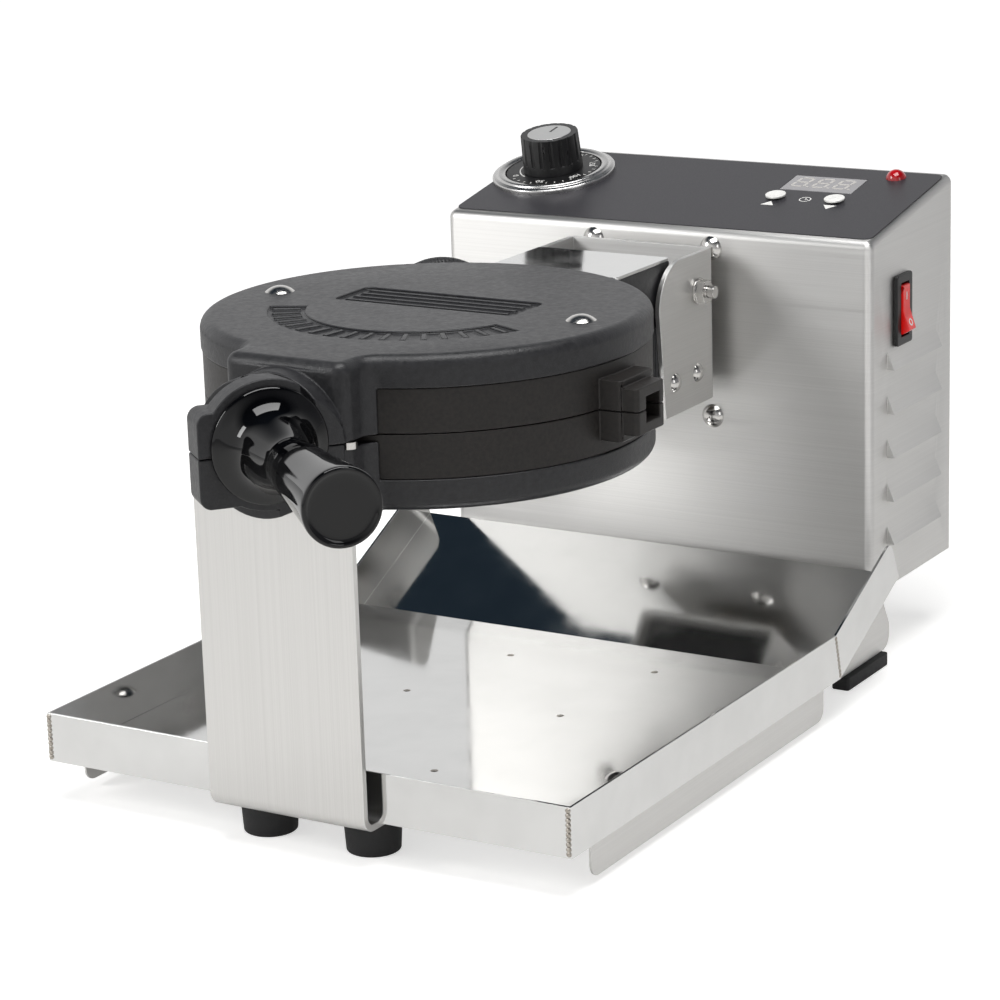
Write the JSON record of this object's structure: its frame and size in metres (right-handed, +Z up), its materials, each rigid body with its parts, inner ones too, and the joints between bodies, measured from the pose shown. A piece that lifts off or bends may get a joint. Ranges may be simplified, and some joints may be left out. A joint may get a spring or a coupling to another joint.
{
  "type": "waffle cone maker",
  "caption": "Counter waffle maker: hinged round cast irons turn on a spindle between a steel control housing and a front post, over a lift-off drip tray.",
  "frame": {"origin": "on the counter, below the middle of the object's box", "axes": "+Z up, the handle and front post towards -Y, the control housing towards +Y, +X to the right seen from the front"},
  "size_m": [0.2612, 0.5118, 0.2429],
  "materials": {
    "brushed_stainless": "brushed stainless sheet",
    "polished_stainless": "polished stainless steel",
    "machined_steel": "turned and milled steel",
    "bronze": "turned bronze",
    "cast_aluminium": "dark satin non-stick coating on cast aluminium",
    "heater_sheath": "oxidised tubular sheath",
    "black_bakelite": "glossy moulded phenolic",
    "black_plastic": "satin moulded plastic",
    "cap_aluminium": "spun satin aluminium",
    "panel_film": "dark printed film",
    "window_plastic": "grey smoked window",
    "board_laminate": "green board laminate",
    "white_plastic": "white moulded keys",
    "red_lens": "red translucent plastic",
    "black_rubber": "moulded rubber",
    "lead_sleeve": "black sleeved lead"
  },
  "bodies": {
    "base": {"housing_shell": "brushed_stainless", "rear_cover": "brushed_stainless", "bottom_plate": "brushed_stainless", "panel_overlay": "panel_film", "dial_bezel": "polished_stainless", "thermostat_body": "black_plastic", "display_window": "window_plastic", "timer_board": "board_laminate", "indicator_lamp": "red_lens", "rocker_frame": "black_plastic", "bearing_plate": "machined_steel", "spindle_bush": "bronze", "face_screws": "polished_stainless", "rear_screws": "polished_stainless", "lead_gland": "black_plastic", "terminal_block": "black_plastic", "stop_blocks": "machined_steel", "front_post": "brushed_stainless", "cross_plate": "brushed_stainless", "leg_brackets": "brushed_stainless", "leg_pads": "black_rubber", "front_feet": "black_rubber"},
    "iron": {"spindle": "machined_steel", "spindle_collar": "machined_steel", "stop_arm": "machined_steel", "yoke": "brushed_stainless", "hinge_bolt": "polished_stainless", "yoke_screws": "polished_stainless", "lower_cover": "cast_aluminium", "lower_grid": "cast_aluminium", "lower_heater": "heater_sheath", "lower_cover_screws": "polished_stainless", "bumper_stud": "polished_stainless", "heater_lead": "lead_sleeve", "lead_grommets": "black_rubber"},
    "lid": {"upper_cover": "cast_aluminium", "upper_grid": "cast_aluminium", "upper_heater": "heater_sheath", "upper_cover_screws": "polished_stainless", "arm_plate": "polished_stainless", "handle": "black_bakelite", "handle_stud": "machined_steel"},
    "dial": {"knob": "black_plastic", "knob_cap": "cap_aluminium", "knob_stem": "machined_steel", "dial_skirt": "black_plastic"},
    "switch_key": {"rocker_key": "red_lens"},
    "up_key": {"up_button": "white_plastic"},
    "down_key": {"down_button": "white_plastic"},
    "tray": {"drip_tray": "polished_stainless", "tray_skirts": "polished_stainless", "tray_screws": "polished_stainless"}
  },
  "joints": [
    {"name": "iron_turn", "type": "hinge", "parent": "base", "child": "iron", "pos_m": [0, 0.15727, 0.177], "axis": [0, 1, 0], "range_deg": [-180, 0]},
    {"name": "lid_hinge", "type": "hinge", "parent": "iron", "child": "lid", "pos_m": [0, 0.13097, 0.1845], "axis": [-1, 0, 0], "range_deg": [0, 90]},
    {"name": "knob_turn", "type": "hinge", "parent": "base", "child": "dial", "pos_m": [-0.086, 0.21427, 0.21821], "axis": [0, -0.1847, 0.9828], "range_deg": [-270, 0]},
    {"name": "switch_tilt", "type": "hinge", "parent": "base", "child": "switch_key", "pos_m": [0.113, 0.19107, 0.1705], "axis": [0, 1, 0], "range_deg": [0, 20]},
    {"name": "up_press", "type": "slide", "parent": "base", "child": "up_key", "axis": [0, 0.1847, -0.9828], "range_m": [0, 0.0006], "stiffness_N_per_m": 400},
    {"name": "down_press", "type": "slide", "parent": "base", "child": "down_key", "axis": [0, 0.1847, -0.9828], "range_m": [0, 0.0006], "stiffness_N_per_m": 400},
    {"name": "tray_lift", "type": "slide", "parent": "base", "child": "tray", "axis": [0, 0, 1], "range_m": [0, 0.05]}
  ]
}
